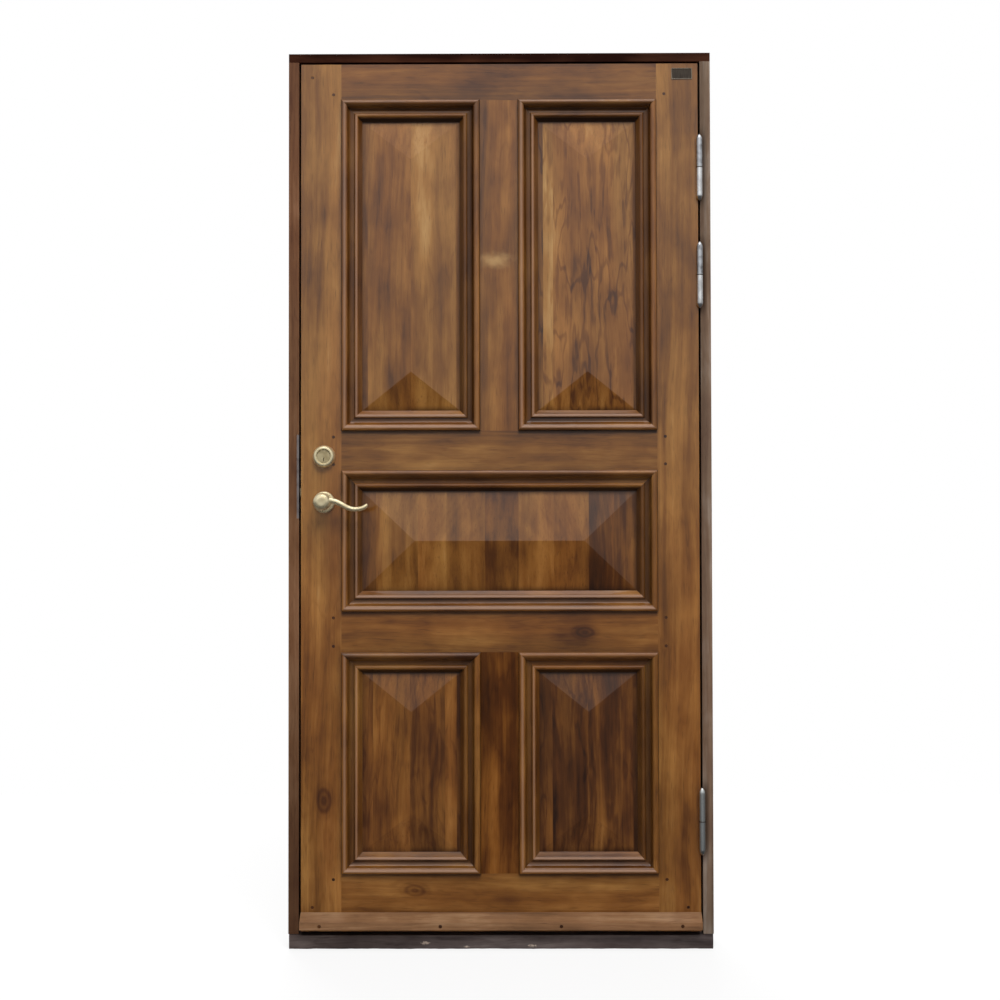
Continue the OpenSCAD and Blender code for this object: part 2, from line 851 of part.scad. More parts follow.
module inner_moulding(o) {
    color(teak) translate([o[1] + o[3], y_back, o[2]]) rotate([90, 0, 180]) mould_frame(o[3], o[4]);
}

// Weather bar

module bar_pins(grow = 0) {
    for (i = [-1.5 : 1.5])
        translate([i * plug_pitch, y_face - bar_proud, bar_z0 + bar_nose / 2])
            rotate([-90, 0, 0]) cylinder(d = plug_pin_d + 2 * grow, h = bar_proud + plug_depth + grow);
}

module weather_bar() {
    color(teak) difference() {
        along_x(2 * leaf_x) difference() {
            polygon([
                [y_face, bar_z0], [y_face - bar_proud, bar_z0], [y_face - bar_proud, bar_z0 + bar_nose],
                [y_face - bar_lip, bar_z0 + bar_h], [y_face, bar_z0 + bar_h]
            ]);
            translate([y_face - bar_proud + 3 * drip_r, bar_z0]) circle(drip_r);
        }
        bar_pins(wood_fit);
    }
}

module weather_bar_plugs() {
    color(teak_dark) bar_pins();
}

// Lock

module forend_blank(grow = 0, past = 0) {
    block([-leaf_x - past, y_mid - forend_w / 2 - grow, forend_z0 - grow],
          [-leaf_x + forend_t + grow, y_mid + forend_w / 2 + grow, forend_z1 + grow]);
}

module forend_fasteners(grow = 0) {
    for (z = [forend_z0 + forend_over / 2, forend_z1 - forend_over / 2])
        translate([-leaf_x, y_mid, z]) rotate([0, -90, 0]) screw(lock_screw_l, lock_screw_d, grow);
}

// The channel that a bolt slides in, from the leaf's edge to x1
module bolt_channel(z, h, x1) {
    block([-leaf_x - over, y_mid - bolt_t / 2 - lock_fit, z - h / 2 - lock_fit],
          [x1, y_mid + bolt_t / 2 + lock_fit, z + h / 2 + lock_fit]);
}

module bolt_channels() {
    bolt_channel(latch_z, latch_h, latch_x + latch_l + latch_out + end_room);
    bolt_channel(deadbolt_z, deadbolt_h, deadbolt_x + deadbolt_l + end_room);
}

module lock_forend() {
    color(steel) difference() {
        forend_blank();
        bolt_channels();
        forend_fasteners(wood_fit);
    }
}

module forend_screws() {
    color(steel) forend_fasteners();
}

module lock_case() {
    color(steel) difference() {
        block([-leaf_x + forend_t, y_mid - case_t / 2, case_z0], [case_x1, y_mid + case_t / 2, case_z1]);
        bolt_channels();
        out_of_face(lock_x, lever_z) translate([0, 0, -leaf_t])
            cylinder(d = follower_d + 2 * pin_fit, h = leaf_t);
        out_of_face(lock_x, plug_z) translate([0, 0, -leaf_t])
            cylinder(d = plug_d + 2 * lock_fit, h = leaf_t);
    }
}

module latch_bolt() {
    tip = 2;
    nose = bolt_t / 2 - tip;
    heel = latch_x + latch_out - tip / 2;
    color(brass) translate([0, y_mid, latch_z])
        linear_extrude(latch_h, center = true)
            polygon([
                [latch_x + latch_l, -bolt_t / 2], [latch_x, -bolt_t / 2], [latch_x, -nose],
                [heel, bolt_t / 2], [latch_x + latch_l, bolt_t / 2]
            ]);
}

module dead_bolt() {
    color(steel)
        block([deadbolt_x, y_mid - bolt_t / 2, deadbolt_z - deadbolt_h / 2],
              [deadbolt_x + deadbolt_l, y_mid + bolt_t / 2, deadbolt_z + deadbolt_h / 2]);
}

module follower() {
    color(steel) translate([lock_x, y_mid, lever_z]) rotate([90, 0, 0]) difference() {
        cylinder(d = follower_d, h = case_t, center = true);
        cube([spindle_w + 2 * wood_fit, spindle_w + 2 * wood_fit, case_t + 2 * over], center = true);
    }
}

module spindle() {
    reach = lever_out - boss_t;
    color(steel) translate([lock_x, y_mid, lever_z])
        cube([spindle_w, leaf_t + 2 * reach, spindle_w], center = true);
}

// Roses, lever handles and cylinder

// A rose with a rounded rim, round a hole
module rose(hole_d) {
    r = rose_d / 2;
    bore = hole_d / 2 + turn_fit;
    rotate_extrude() {
        translate([bore, 0]) square([r - rose_rim - bore, rose_t]);
        translate([bore, 0]) square([r - bore, rose_t - rose_rim]);
        translate([r - rose_rim, rose_t - rose_rim]) circle(rose_rim);
    }
}

module outside_rose() {
    color(brass) out_of_face(lock_x, lever_z) rose(neck_d);
}

module inside_rose() {
    color(brass) out_of_back(lock_x, lever_z) rose(neck_d);
}

module turn_rose() {
    color(brass) out_of_back(lock_x, plug_z) rose(stem_d);
}

// A point, and the direction of travel there, on a cubic curve through four control points
function curve_at(p, t) =
    pow(1 - t, 3) * p[0] + 3 * t * pow(1 - t, 2) * p[1] + 3 * t * t * (1 - t) * p[2] + t * t * t * p[3];
function curve_turn(p, t) =
    let (d = pow(1 - t, 2) * (p[1] - p[0]) + 2 * t * (1 - t) * (p[2] - p[1]) + t * t * (p[3] - p[2]))
    atan2(d.y, d.x);

arm_sides = 16;
arm_steps = 14;
curl_steps = 8;
// The arm falls in a wave to its lowest point, and its end curls up again
arm_low = [lever_reach * 0.74, -lever_wave];
ARM = [[0, 4], [lever_reach * 0.42, 7], [lever_reach * 0.48, -lever_wave], arm_low];
CURL = [arm_low, [lever_reach * 0.88, -lever_wave], [lever_reach * 0.96, -lever_wave * 0.75],
        [lever_reach, -lever_wave * 0.35]];
ARM_SPOTS = concat(
    [for (i = [0 : arm_steps]) let (t = i / arm_steps)
        [curve_at(ARM, t), curve_turn(ARM, t), lever_root_h + (lever_tip_h - lever_root_h) * t]],
    [for (i = [1 : curl_steps]) let (t = i / curl_steps)
        [curve_at(CURL, t), curve_turn(CURL, t), lever_tip_h * sqrt(1 - pow(max(0, t - 0.5) * 1.9, 2))]]);

// The arm as a loft of oval sections, in the X-Y plane
module lever_arm() {
    points = [for (s = ARM_SPOTS, k = [0 : arm_sides - 1])
        let (
            a = 360 * k / arm_sides,
            up = s[2] / 2 * cos(a),
            deep = lever_arm_d / 2 * min(1, s[2] / lever_tip_h) * sin(a)
        )
        [s[0].x - up * sin(s[1]), s[0].y + up * cos(s[1]), deep]];
    last = len(ARM_SPOTS) - 1;
    walls = [for (i = [0 : last - 1], k = [0 : arm_sides - 1])
        let (a = i * arm_sides, b = a + arm_sides, n = (k + 1) % arm_sides)
        [a + k, b + k, b + n, a + n]];
    root = [for (k = [0 : arm_sides - 1]) k];
    tip = [for (k = [arm_sides - 1 : -1 : 0]) last * arm_sides + k];
    polyhedron(points, concat(walls, [root, tip]));
}

// A lever from the leaf's face outwards: neck, rounded boss and arm
module lever() {
    base = 2;
    boss_z = lever_out - boss_t / 2;
    socket = spindle_w + 2 * wood_fit;
    difference() {
        union() {
            rotate_extrude() {
                translate([0, base]) square([neck_d / 2, boss_z - base]);
                translate([0, boss_z - boss_t / 2]) square([(boss_d - boss_t) / 2, boss_t]);
                intersection() {
                    translate([(boss_d - boss_t) / 2, boss_z]) circle(boss_t / 2);
                    translate([0, boss_z - boss_t]) square([boss_d, 2 * boss_t]);
                }
            }
            translate([0, 0, boss_z]) lever_arm();
        }
        translate([-socket / 2, -socket / 2, 0])
            cube([socket, socket, lever_out - boss_t + wood_fit]);
    }
}

module outside_lever() {
    color(brass) out_of_face(lock_x, lever_z) lever();
}

module inside_lever() {
    color(brass) translate([0, 2 * y_mid, 0]) mirror([0, 1, 0]) out_of_face(lock_x, lever_z) lever();
}

module cylinder_ring() {
    bore = cylinder_d / 2 + lock_fit;
    base = ring_base_d / 2;
    front = ring_front_d / 2;
    edge = 2;
    steps = 6;
    dome = [for (i = [0 : steps]) let (a = 90 * i / steps)
        [front + (base - front) * cos(a), edge + (ring_h - edge) * sin(a)]];
    color(brass) out_of_face(lock_x, cylinder_z) rotate_extrude()
        polygon(concat([[bore, 0], [base, 0]], dome, [
            [front - edge, ring_h], [bore + edge / 2, ring_h - ring_dish], [bore, ring_h - ring_dish]
        ]));
}

module lock_cylinder() {
    front = ring_h - ring_dish;
    depth = (leaf_t - case_t) / 2;
    color(brass) out_of_face(lock_x, cylinder_z) difference() {
        translate([0, 0, -depth]) cylinder(d = cylinder_d, h = front + depth);
        translate([0, -plug_drop, -depth - over])
            cylinder(d = plug_d + 2 * pin_fit, h = front + depth + 2 * over);
    }
}

// The plug turns in the cylinder, runs on through the case as a cam and ends in the tail
module key_plug() {
    proud = 0.5;
    front = ring_h - ring_dish + proud;
    deep = (leaf_t + case_t) / 2;
    keyway_h = plug_d * 0.64;
    keyway_l = 8;
    color(brass) out_of_face(lock_x, plug_z) difference() {
        union() {
            translate([0, 0, -deep]) cylinder(d = plug_d, h = front + deep);
            translate([0, 0, -leaf_t - rose_t]) cylinder(d = tail_d, h = leaf_t + rose_t);
        }
        translate([-keyway_w / 2, -keyway_h / 2, front - keyway_l])
            cube([keyway_w, keyway_h, keyway_l + over]);
    }
}

module thumb_turn() {
    play = 1;
    sunk = 2;
    grip_z = rose_t + play;
    color(brass) out_of_back(lock_x, plug_z) difference() {
        union() {
            translate([0, 0, -sunk]) cylinder(d = stem_d, h = grip_z + 2 * sunk);
            translate([0, 0, grip_z]) linear_extrude(grip_out - grip_z) {
                square([grip_t, grip_l - grip_t], center = true);
                for (s = [-1, 1]) translate([0, s * (grip_l - grip_t) / 2]) circle(d = grip_t);
            }
        }
        translate([0, 0, -sunk - over])
            cylinder(d = tail_d + 2 * wood_fit, h = grip_z + sunk + over);
    }
}

hinge_jamb();
lock_jamb();
head();
threshold();
door_seal();
frame_screws();
strike_plate();
strike_screws();
hinge_pins();
hinge_washers();
hinge_frame_screws();
lock_stile();
hinge_stile();
top_rail();
lock_rail();
middle_rail();
bottom_rail();
upper_muntin();
lower_muntin();
weather_bar();
weather_bar_plugs();
tenon_pegs();
lock_case();
lock_forend();
forend_screws();
hinge_leaf_screws();
outside_rose();
inside_rose();
turn_rose();
cylinder_ring();
lock_cylinder();
outside_lever();
inside_lever();
spindle();
follower();
latch_bolt();
dead_bolt();
key_plug();
thumb_turn();
for (h = HINGES) {
    hinge_frame_half(h[1]);
    hinge_leaf_half(h[1]);
}
for (o = OPENINGS) {
    panel(o);
    outer_moulding(o);
    inner_moulding(o);
}
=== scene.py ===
import json
import math

import bpy
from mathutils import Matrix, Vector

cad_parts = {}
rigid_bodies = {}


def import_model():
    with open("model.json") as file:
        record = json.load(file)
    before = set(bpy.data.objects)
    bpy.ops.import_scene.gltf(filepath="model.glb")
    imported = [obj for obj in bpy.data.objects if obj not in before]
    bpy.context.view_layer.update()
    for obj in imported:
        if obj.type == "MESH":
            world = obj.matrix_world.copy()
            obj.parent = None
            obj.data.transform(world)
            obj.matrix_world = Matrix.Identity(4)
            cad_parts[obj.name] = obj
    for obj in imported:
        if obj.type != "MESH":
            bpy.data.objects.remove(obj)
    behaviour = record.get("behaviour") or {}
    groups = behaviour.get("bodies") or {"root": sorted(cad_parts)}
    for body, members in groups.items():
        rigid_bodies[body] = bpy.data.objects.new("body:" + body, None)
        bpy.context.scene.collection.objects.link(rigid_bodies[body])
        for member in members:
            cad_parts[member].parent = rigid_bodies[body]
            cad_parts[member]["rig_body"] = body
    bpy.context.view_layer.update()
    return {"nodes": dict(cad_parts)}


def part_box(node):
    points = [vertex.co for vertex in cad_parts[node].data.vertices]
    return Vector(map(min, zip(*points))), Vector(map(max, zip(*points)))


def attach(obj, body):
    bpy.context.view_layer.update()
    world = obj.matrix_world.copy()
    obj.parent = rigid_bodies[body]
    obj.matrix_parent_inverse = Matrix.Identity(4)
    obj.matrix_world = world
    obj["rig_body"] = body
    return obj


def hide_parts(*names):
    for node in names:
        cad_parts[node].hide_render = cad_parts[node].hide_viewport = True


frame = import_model()

# Threshold.
# The frame's bottom timber, which the jambs stand on. It was left dark and matt; feet have
# worn it uneven, trodden dirt into its lock end and chipped its front down to pale wood.


class Shade:
    """An output socket in a material's node tree. Arithmetic on it adds Math nodes."""

    def __init__(self, tree, socket=None):
        self.tree = tree
        self.socket = socket

    def node(self, kind, inputs=(), output=0, **settings):
        """Adds a node: its settings first, then the values or links of its sockets."""
        made = self.tree.nodes.new("ShaderNode" + kind)
        for name, value in settings.items():
            setattr(made, name, value)
        for name, value in dict(inputs).items():
            if isinstance(value, Shade):
                self.tree.links.new(value.socket, made.inputs[name])
            else:
                made.inputs[name].default_value = value
        return Shade(self.tree, made.outputs[output]) if made.outputs else None

    def pick(self, output):
        """Another output of the same node."""
        return Shade(self.tree, self.socket.node.outputs[output])

    def math(self, operation, *others):
        return self.node("Math", enumerate((self, *others)), operation=operation)

    def __add__(self, other):
        return self.math("ADD", other)

    def __sub__(self, other):
        return self.math("SUBTRACT", other)

    def __rsub__(self, other):
        return self.node("Math", {0: other, 1: self}, operation="SUBTRACT")

    def __mul__(self, other):
        return self.math("MULTIPLY", other)

    def __truediv__(self, other):
        return self.math("DIVIDE", other)

    __radd__ = __add__
    __rmul__ = __mul__

    def diagonal(self, other):
        """The long side of a right angle's triangle, from its two short sides."""
        return (self * self + other * other).math("SQRT")

    def between(self, low, high):
        """0 at low, 1 at high and a smooth step from one to the other."""
        return self.node("MapRange", {"Value": self, "From Min": low, "From Max": high},
                         interpolation_type="SMOOTHSTEP")

    def before(self, low, high):
        """1 at low, 0 at high and a smooth step from one to the other."""
        return 1.0 - self.between(low, high)

    def blend(self, first, second):
        """Two colours mixed by this value."""
        return self.node("Mix", {0: self, 6: first, 7: second}, 2, data_type="RGBA")

    def tinted(self, tint):
        """This colour multiplied by another."""
        return self.node("Mix", {0: 1.0, 6: self, 7: tint}, 2, data_type="RGBA",
                         blend_type="MULTIPLY")

    def ramp(self, stops, steps="LINEAR"):
        """A colour picked by this value from stops, each a position and a colour."""
        picked = self.node("ValToRGB", {"Fac": self})
        band = picked.socket.node.color_ramp
        band.interpolation = steps
        for missing in range(len(stops) - len(band.elements)):
            band.elements.new(1.0)
        for stop, (position, colour) in zip(band.elements, stops):
            stop.position = position
            stop.color = (*colour, 1.0)
        return picked


def new_finish(name):
    """An empty material and the start of its node tree."""
    finish = bpy.data.materials.new(name)
    finish.use_nodes = True
    finish.node_tree.nodes.clear()
    return finish, Shade(finish.node_tree)


def place_on(start):
    """The three parts of a point on the piece."""
    point = start.node("TexCoord", output="Object")
    parts = start.node("SeparateXYZ", {"Vector": point})
    return tuple(parts.pick(axis) for axis in "XYZ")


def surface(start, sockets):
    """Closes a node tree with one Principled surface."""
    skin = start.node("BsdfPrincipled", sockets)
    start.node("OutputMaterial", {"Surface": skin})


def mottle(start, spot, mark, seed=0.0):
    """Noise on a point given as across, along and depth, with a mark's scales and fineness."""
    scales, fineness, step = mark
    parts = [part * scale for part, scale in zip(spot, scales)]
    shift = seed + step
    where = start.node("CombineXYZ", {0: parts[0] + shift, 1: parts[1], 2: parts[2] - shift})
    return start.node("TexNoise", {"Vector": where, "Scale": 1.0, "Detail": fineness})


# Each mark of the timber: scales across, along and into the board, fineness, and seed step.
SWAY = ((4.0, 1.3, 4.0), 2.0, 0.0)
STREAKS = ((46.0, 1.4, 46.0), 2.0, 1.0)
THREADS = ((270.0, 6.0, 270.0), 2.0, 2.0)
CLOUDS = ((7.0, 3.0, 7.0), 3.0, 3.0)
LEAN = ((30.0, 5.0, 30.0), 2.0, 4.0)
PORES = ((900.0, 26.0, 900.0), 1.0, 5.0)
MINERAL = ((16.0, 3.0, 16.0), 3.0, 6.0)
PATCHES = ((20.0, 8.0, 20.0), 3.0, 7.0)
HUE = ((9.0, 1.1, 9.0), 2.0, 8.0)
FLECKS = ((64.0, 9.0, 64.0), 3.0, 9.0)
NOISE_MEAN, VEIN_MEAN = 0.5, 0.25
PORE_EDGE, VEIN_EDGE = (0.6, 0.72), (0.003, 0.022)
FLECK_EDGE, HUE_EDGE = (0.52, 0.66), (0.35, 0.65)

# How far the fibres wander, in metres, and how strongly each mark shifts the tone.
SWAY_REACH, LEAN_REACH = 0.05, 0.006
RING_PITCH, RING_TONE, STREAK_TONE, THREAD_TONE = 130.0, 0.2, 0.55, 0.14
CLOUD_TONE, PATCH_TONE, PORE_TONE = 0.72, 0.55, 0.35
DRIFT_MIDDLE, DOOR_HALF = 1.0, 0.5
STAVE_SLIP, STAVE_SEED = 13.0, 57.0

# Knots are drawn out along the fibres, with rings that fade. Pale spots are flat and ragged.
KNOT_DRAWN, KNOT_EDGE, KNOT_TONE = 0.55, (0.4, 1.5), 0.2
KNOT_RINGS, KNOT_RING_LEAN, KNOT_RING_TONE = 11.0, 3.0, 0.07
SPOT_HIGH, SPOT_INNER, SPOT_OUTER = 0.45, 0.3, 1.1
SPOT_RAGGED, SPOT_TEARS = 2.5, 2.0
OUTER_FACE = (-0.03, -0.02)

# How the marks shape and roughen the surface. A varnish is roughness, coat weight and shine.
THREAD_RELIEF, PORE_RELIEF, CLOUD_RELIEF = 0.35, 0.6, 0.8
PORE_ROUGH, STREAK_ROUGH = 0.2, 0.16
VARNISHED = (0.36, 1.0, 0.2)
MATT = (0.62, 0.0, 0.12)
REDDER, BLUER = (1.03, 0.97, 0.96, 1.0), (0.98, 1.01, 1.04, 1.0)
# Pores, dirt and painted shade darken towards the first colour; painted highlights lighten towards
# the second.
GRIME_AND_SHADE = (0.014, 0.005, 0.002, 1.0)
HIGHLIGHT_TAN = (0.34, 0.20, 0.13, 1.0)


def wood(name, run, tone, seed, stops, vein=0.04, pith=(0.0, 0.09, 0.05), drift=0.0,
         varnish=VARNISHED, knots=(), pale=(), stains_and_shade=None):
    """Timber whose fibres run along X or Z, or as the dirty function turns them.

    The tone picks the board's place between the dark and light stops; a list gives one tone to
    each stave, with its left edge. The vein is how dark the mineral lines are. The pith is the
    middle of the growth rings: sideways, behind the face, and its drift along the board. The
    drift is how much lighter the board gets with each metre of height. A knot is its place and
    size; a pale spot also has a colour and the softness of its edge. The function given for
    stains and shade gives the directions across and along the fibres, the darkening by dirt and
    by painted shade, and the painted highlight or None.
    """
    finish, start = new_finish(name)
    x, depth, z = place_on(start)
    across, along = (z, x) if run == "X" else (x, z)
    if stains_and_shade:
        across, along, dirt_and_shade, painted_highlight = stains_and_shade(x, z, across, along)
    if isinstance(tone, list):
        staves = [(max(0.0, edge + DOOR_HALF), (shade,) * 3) for edge, shade in tone]
        stave = (x + DOOR_HALF).ramp(staves, "CONSTANT")
        tone = start.node("RGBToBW", {"Color": stave})
        along = along + tone * STAVE_SLIP
        seed = tone * STAVE_SEED + seed
    spot = (across, along, depth)
    sway = mottle(start, spot, SWAY, seed) - NOISE_MEAN
    lean = mottle(start, spot, LEAN, seed) - NOISE_MEAN
    bent = across + sway * SWAY_REACH + lean * LEAN_REACH
    fibre = (bent, along, depth)
    ring = (bent - pith[0]).diagonal(depth + pith[1] + along * pith[2])
    rings = start.node("TexNoise", {"W": ring * RING_PITCH + seed, "Scale": 1.0, "Detail": 2.0},
                       noise_dimensions="1D")
    streaks = mottle(start, fibre, STREAKS, seed)
    threads = mottle(start, fibre, THREADS, seed)
    clouds = mottle(start, spot, CLOUDS, seed)
    patches = mottle(start, spot, PATCHES, seed)
    pores = mottle(start, fibre, PORES, seed).between(*PORE_EDGE)
    mineral = mottle(start, fibre, MINERAL, seed) - NOISE_MEAN
    veins = mineral.math("ABSOLUTE").before(*VEIN_EDGE)
    flecks = mottle(start, fibre, FLECKS, seed).between(*FLECK_EDGE)
    level = (rings - NOISE_MEAN) * RING_TONE + (streaks - NOISE_MEAN) * STREAK_TONE
    level = level + (clouds - NOISE_MEAN) * CLOUD_TONE + (patches - NOISE_MEAN) * PATCH_TONE
    level = level + (threads - NOISE_MEAN) * THREAD_TONE + tone
    level = level - (veins + flecks - VEIN_MEAN) * vein
    if drift:
        level = level + (z - DRIFT_MIDDLE) * drift
    for knot_x, knot_z, size in knots:
        off_x = (x - knot_x) + lean * size
        off_z = (z - knot_z) + sway * size
        if run == "X":
            off_x = off_x * KNOT_DRAWN
        else:
            off_z = off_z * KNOT_DRAWN
        reach = off_x.diagonal(off_z) / size
        eyes = (reach * KNOT_RINGS + lean * KNOT_RING_LEAN).math("SINE")
        level = level - reach.before(*KNOT_EDGE) * (eyes * KNOT_RING_TONE + KNOT_TONE)
    hue = mottle(start, fibre, HUE, seed).between(*HUE_EDGE).blend(REDDER, BLUER)
    colour = level.ramp(stops).tinted(hue)
    colour = (pores * PORE_TONE).blend(colour, GRIME_AND_SHADE)
    for spot_x, spot_z, size, bare_wood, soft in pale:
        off_x = (x - spot_x) / size
        off_z = (z - spot_z) / (size * SPOT_HIGH)
        tears = ((SPOT_TEARS / size,) * 3, 2.0, size)
        ragged = mottle(start, spot, tears) - NOISE_MEAN
        reach = off_x.diagonal(off_z) + ragged * (SPOT_RAGGED * (1.0 - soft))
        bare = reach.before(SPOT_INNER - soft, SPOT_OUTER + soft) * depth.before(*OUTER_FACE)
        colour = bare.blend(colour, bare_wood)
    rough, coat, shine = varnish
    # Painted highlights on beads, then dirt and painted shade, are blended into the colour.
    if stains_and_shade:
        if painted_highlight:
            colour = painted_highlight.blend(colour, HIGHLIGHT_TAN)
        colour = dirt_and_shade.blend(colour, GRIME_AND_SHADE)
        if coat:
            coat = (1.0 - dirt_and_shade) * coat
    relief = threads * THREAD_RELIEF - pores * PORE_RELIEF + clouds * CLOUD_RELIEF
    normal = start.node("Bump", {"Strength": 0.3, "Distance": 0.0006, "Height": relief})
    evened = rough - STREAK_ROUGH * NOISE_MEAN
    surface(start, {"IOR": 1.5, "Specular IOR Level": shine, "Coat Roughness": 0.1,
                    "Base Color": colour, "Normal": normal, "Coat Weight": coat,
                    "Roughness": pores * PORE_ROUGH + streaks * STREAK_ROUGH + evened})
    return finish


SAME_POINT = 0.00001
FLAT, SHARP = math.radians(0.5), math.radians(40.0)


def copy_of(node):
    """A copy of a solid as one closed skin, alone selected, at the solid's place."""
    mesh = frame["nodes"][node].data.copy()
    piece = bpy.data.objects.new(node + "_finished", mesh)
    bpy.context.scene.collection.objects.link(piece)
    bpy.ops.object.select_all(action="DESELECT")
    bpy.context.view_layer.objects.active = piece
    piece.select_set(True)
    bpy.ops.mesh.customdata_custom_splitnormals_clear()
    bpy.ops.object.mode_set(mode="EDIT")
    bpy.ops.mesh.select_all(action="SELECT")
    bpy.ops.mesh.remove_doubles(threshold=SAME_POINT)
    bpy.ops.mesh.dissolve_limited(angle_limit=FLAT)
    bpy.ops.object.mode_set(mode="OBJECT")
    return piece


def shape(piece, kind, **values):
    """Adds a modifier to the selected piece and applies it."""
    tool = piece.modifiers.new(kind.lower(), kind)
    for name, value in values.items():
        setattr(tool, name, value)
    bpy.ops.object.modifier_apply(modifier=tool.name)


def stand_for(piece, node, finish):
    """Gives the piece its finish, and puts it in the solid's place on the solid's body."""
    piece.data.materials.clear()
    piece.data.materials.append(finish)
    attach(piece, frame["nodes"][node]["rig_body"])
    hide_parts(node)


WEATHERED = [
    (0.0, (0.006, 0.005, 0.005)),
    (0.4, (0.044, 0.033, 0.032)),
    (0.7, (0.126, 0.103, 0.097)),
    (1.0, (0.340, 0.300, 0.280)),
]
LOCK_END, TREAD_DIRT = (-0.5, 0.0), 0.45


def tread_stain(x, z, across, along):
    """Dirt trodden in at the lock end, where people step through."""
    return across, along, x.before(*LOCK_END) * TREAD_DIRT, None


BARE = (0.50, 0.40, 0.33, 1.0)
CHIPS = [(-0.175, 0.0145, 0.010), (-0.079, 0.0055, 0.006), (0.072, 0.008, 0.009)]
CHIP_DEEP = 0.3
chisels = []
for chip_x, chip_z, size in CHIPS:
    bpy.ops.object.select_all(action="DESELECT")
    bpy.ops.mesh.primitive_ico_sphere_add(subdivisions=2, radius=size,
                                          scale=(1.0, CHIP_DEEP, SPOT_HIGH),
                                          location=(chip_x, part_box("threshold")[0].y, chip_z))
    chisels.append(bpy.context.object)
for chisel in chisels:
    chisel.select_set(True)
bpy.ops.object.join()
chisel = bpy.context.object
sill = copy_of("threshold")
shape(sill, "REMESH", mode="VOXEL", voxel_size=0.0026)
wear = bpy.data.textures.new("tread wear", "CLOUDS")
wear.noise_scale = 0.035
shape(sill, "DISPLACE", texture=wear, texture_coords="LOCAL", strength=0.0018, mid_level=1.0)
shape(sill, "BOOLEAN", operation="DIFFERENCE", object=chisel, solver="EXACT")
bpy.data.objects.remove(chisel)
bpy.ops.object.shade_smooth_by_angle(angle=SHARP)
sill_wood = wood("threshold wood", "X", tone=0.60, seed=2.2, stops=WEATHERED, varnish=MATT,
                 pale=[(*chip, BARE, 0.0) for chip in CHIPS], stains_and_shade=tread_stain)
stand_for(sill, "threshold", sill_wood)

# Jambs and head.
# Rebated teak, screwed together at the corners. The lock jamb is brown and darker towards its
# foot, the hinge jamb has greyed and is darker beside its hinges, and the head is almost black.


def dressed(node, finish, arris=0.001, steps=2, smooth=SHARP):
    """A copy of a solid with its arrises taken off, which stands for that solid."""
    piece = copy_of(node)
    shape(piece, "BEVEL", width=arris, segments=steps, limit_method="ANGLE", angle_limit=smooth)
    shape(piece, "WELD", merge_threshold=SAME_POINT)
    bpy.ops.object.shade_smooth_by_angle(angle=smooth)
    shape(piece, "WEIGHTED_NORMAL", mode="FACE_AREA", weight=100, keep_sharp=True)
    stand_for(piece, node, finish)


STAINED = [
    (0.0, (0.0144, 0.0046, 0.003)),
    (0.4, (0.066, 0.024, 0.012)),
    (0.7, (0.144, 0.064, 0.028)),
    (1.0, (0.240, 0.126, 0.065)),
]
GREYED = [
    (0.0, (0.027, 0.015, 0.010)),
    (0.4, (0.102, 0.055, 0.036)),
    (0.7, (0.178, 0.117, 0.076)),
    (1.0, (0.330, 0.270, 0.220)),
]
WORN = (0.45, 0.2, 0.1)
BLACKENED = (0.8, 0.0, 0.03)
JAMB_ARRIS = 0.002
HINGES = ("bottom", "upper", "top")
HINGE_REACH, INNER_EDGE, OUTER_EDGE = (0.06, 0.11), (0.476, 0.488), (0.485, 0.491)
HINGE_DARKER, INNER_DARKER = 0.5, 0.3
HINGE_FOOT, HINGE_FOOT_DARKER = (0.04, 0.3), 0.3
OUTER_FOOT, OUTER_DARKER = (0.3, 0.7), 0.25
LOCK_FOOT, LOCK_FOOT_DARKER = (0.15, 0.9), 0.5


def hinge_jamb_darkening(x, z, across, along):
    """Darker on the jamb beside each hinge barrel, along its inner edge, at its foot and at its
    outer edge low down.
    """
    barrels = 0.0
    for place in HINGES:
        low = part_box("hinge_frame_half_" + place)[0].z
        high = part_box("hinge_leaf_half_" + place)[1].z
        barrels = (z - (low + high) / 2).math("ABSOLUTE").before(*HINGE_REACH) + barrels
    inner = x.before(*INNER_EDGE) * (barrels * HINGE_DARKER + INNER_DARKER)
    foot = z.before(*HINGE_FOOT) * HINGE_FOOT_DARKER
    outer = x.between(*OUTER_EDGE) * z.before(*OUTER_FOOT) * OUTER_DARKER
    return across, along, inner.math("MAXIMUM", foot + outer), None


def lock_jamb_darker_foot(x, z, across, along):
    """Darker towards the jamb's foot."""
    return across, along, z.before(*LOCK_FOOT) * LOCK_FOOT_DARKER, None


lock_jamb_teak = wood("lock jamb teak", "Z", tone=0.66, seed=3.1, stops=STAINED, varnish=WORN,
                      stains_and_shade=lock_jamb_darker_foot)
hinge_jamb_teak = wood("hinge jamb teak", "Z", tone=0.68, seed=7.7, stops=GREYED, varnish=WORN,
                       stains_and_shade=hinge_jamb_darkening)
dark_head_teak = wood("dark head teak", "X", tone=0.15, seed=5.3, stops=STAINED, varnish=BLACKENED)
dressed("lock_jamb", lock_jamb_teak, JAMB_ARRIS)
dressed("hinge_jamb", hinge_jamb_teak, JAMB_ARRIS)
dressed("head", dark_head_teak, JAMB_ARRIS)

# Stiles, rails and muntins.
# The leaf's boards of solid teak, mortised and tenoned together. Each is a board of its own,
# with its own tone, figure and knots. A shadow is painted on the rails under the mouldings.
TEAK = [
    (0.0, (0.0195, 0.0057, 0.0016)),
    (0.25, (0.067, 0.0206, 0.0031)),
    (0.5, (0.168, 0.062, 0.0093)),
    (0.75, (0.287, 0.126, 0.026)),
    (1.0, (0.427, 0.229, 0.0726)),
]

